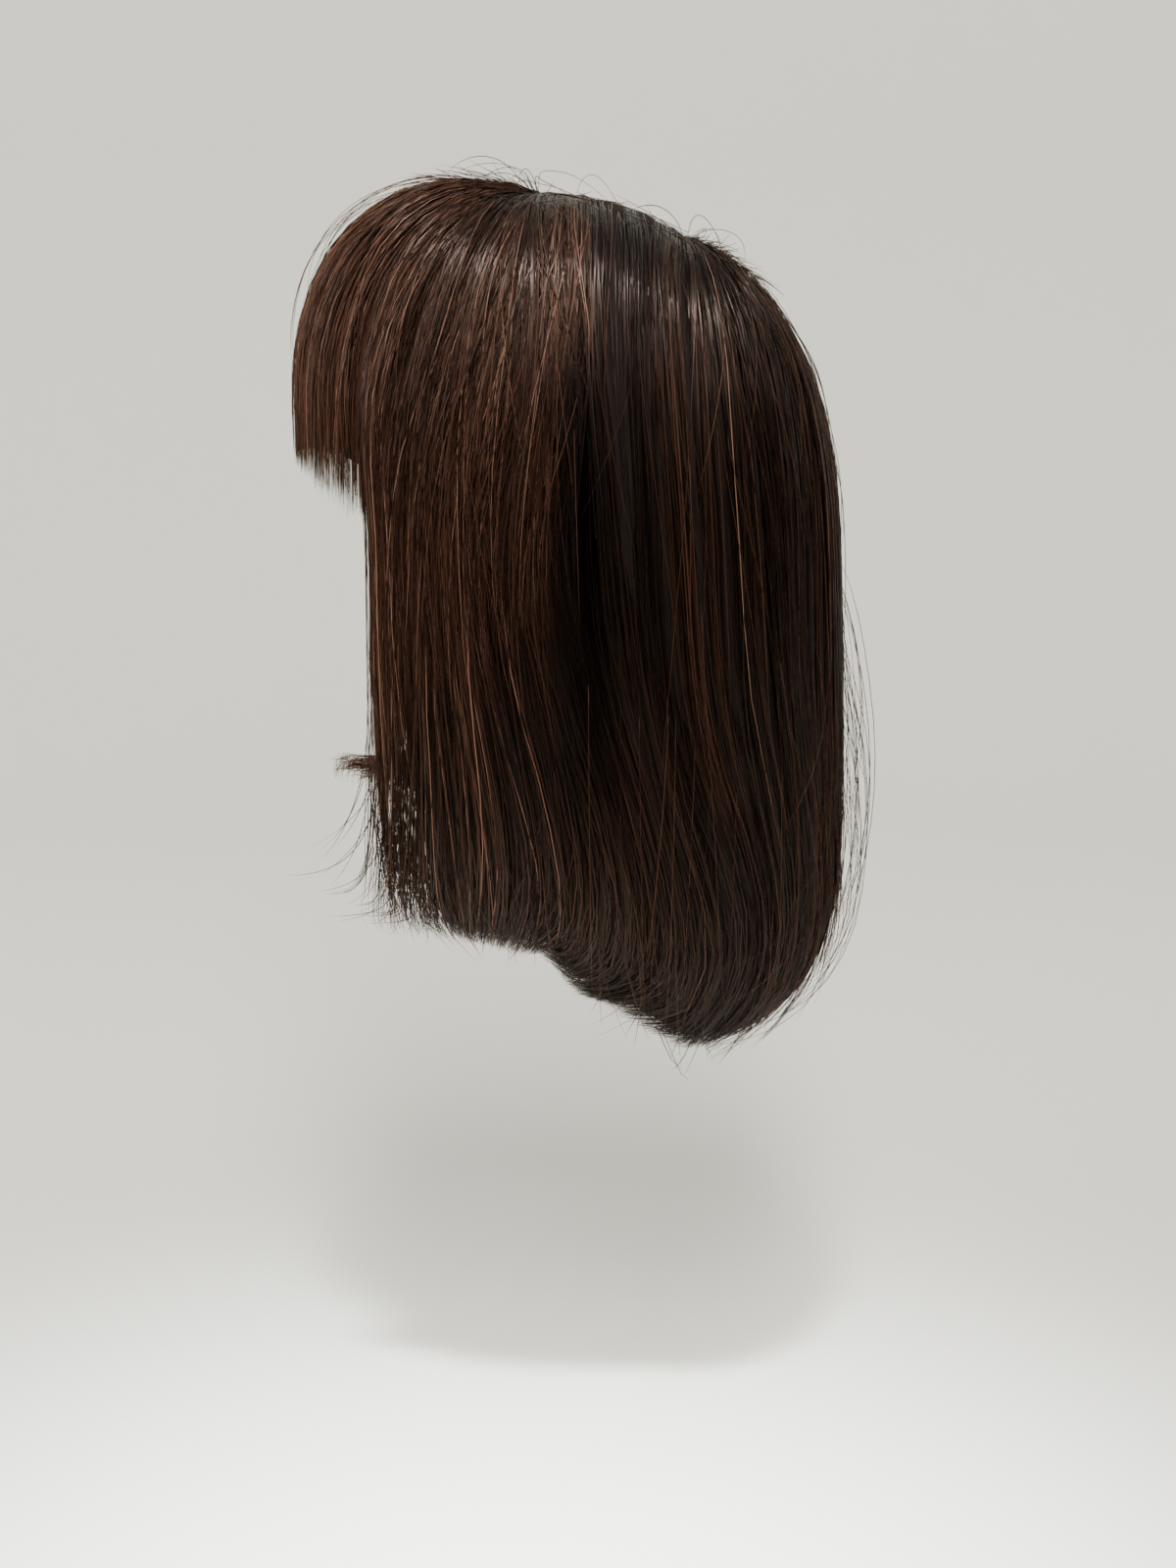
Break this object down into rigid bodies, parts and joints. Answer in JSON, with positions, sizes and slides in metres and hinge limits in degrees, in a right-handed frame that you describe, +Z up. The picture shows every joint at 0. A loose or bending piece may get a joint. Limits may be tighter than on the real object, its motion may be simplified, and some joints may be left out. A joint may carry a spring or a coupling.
{
  "type": "bob wig with full fringe",
  "caption": "Straight bob wig with a full fringe: a fitted cap that carries a layered head of hair, short at the cheeks and longer at the nape, its ends curled under.",
  "frame": {"origin": "top of the inside of the cap, where it bears on the wearer's crown", "axes": "+Z up, -Y towards the wearer's face, +X to the wearer's left"},
  "size_m": [0.1876, 0.2169, 0.3425],
  "materials": {
    "cap_net": "stretch net, matte",
    "fringe_hair": "straight chestnut hair, soft sheen",
    "top_hair": "straight dark chestnut hair, soft sheen",
    "long_hair": "straight dark brown hair, soft sheen"
  },
  "bodies": {
    "root": {"cap": "cap_net", "fringe": "fringe_hair", "top_hair_left": "top_hair", "top_hair_right": "top_hair", "top_hair_back_left": "top_hair", "top_hair_back_right": "top_hair", "long_hair_left": "long_hair", "long_hair_right": "long_hair", "long_hair_back_left": "long_hair", "long_hair_back_right": "long_hair"}
  },
  "joints": []
}
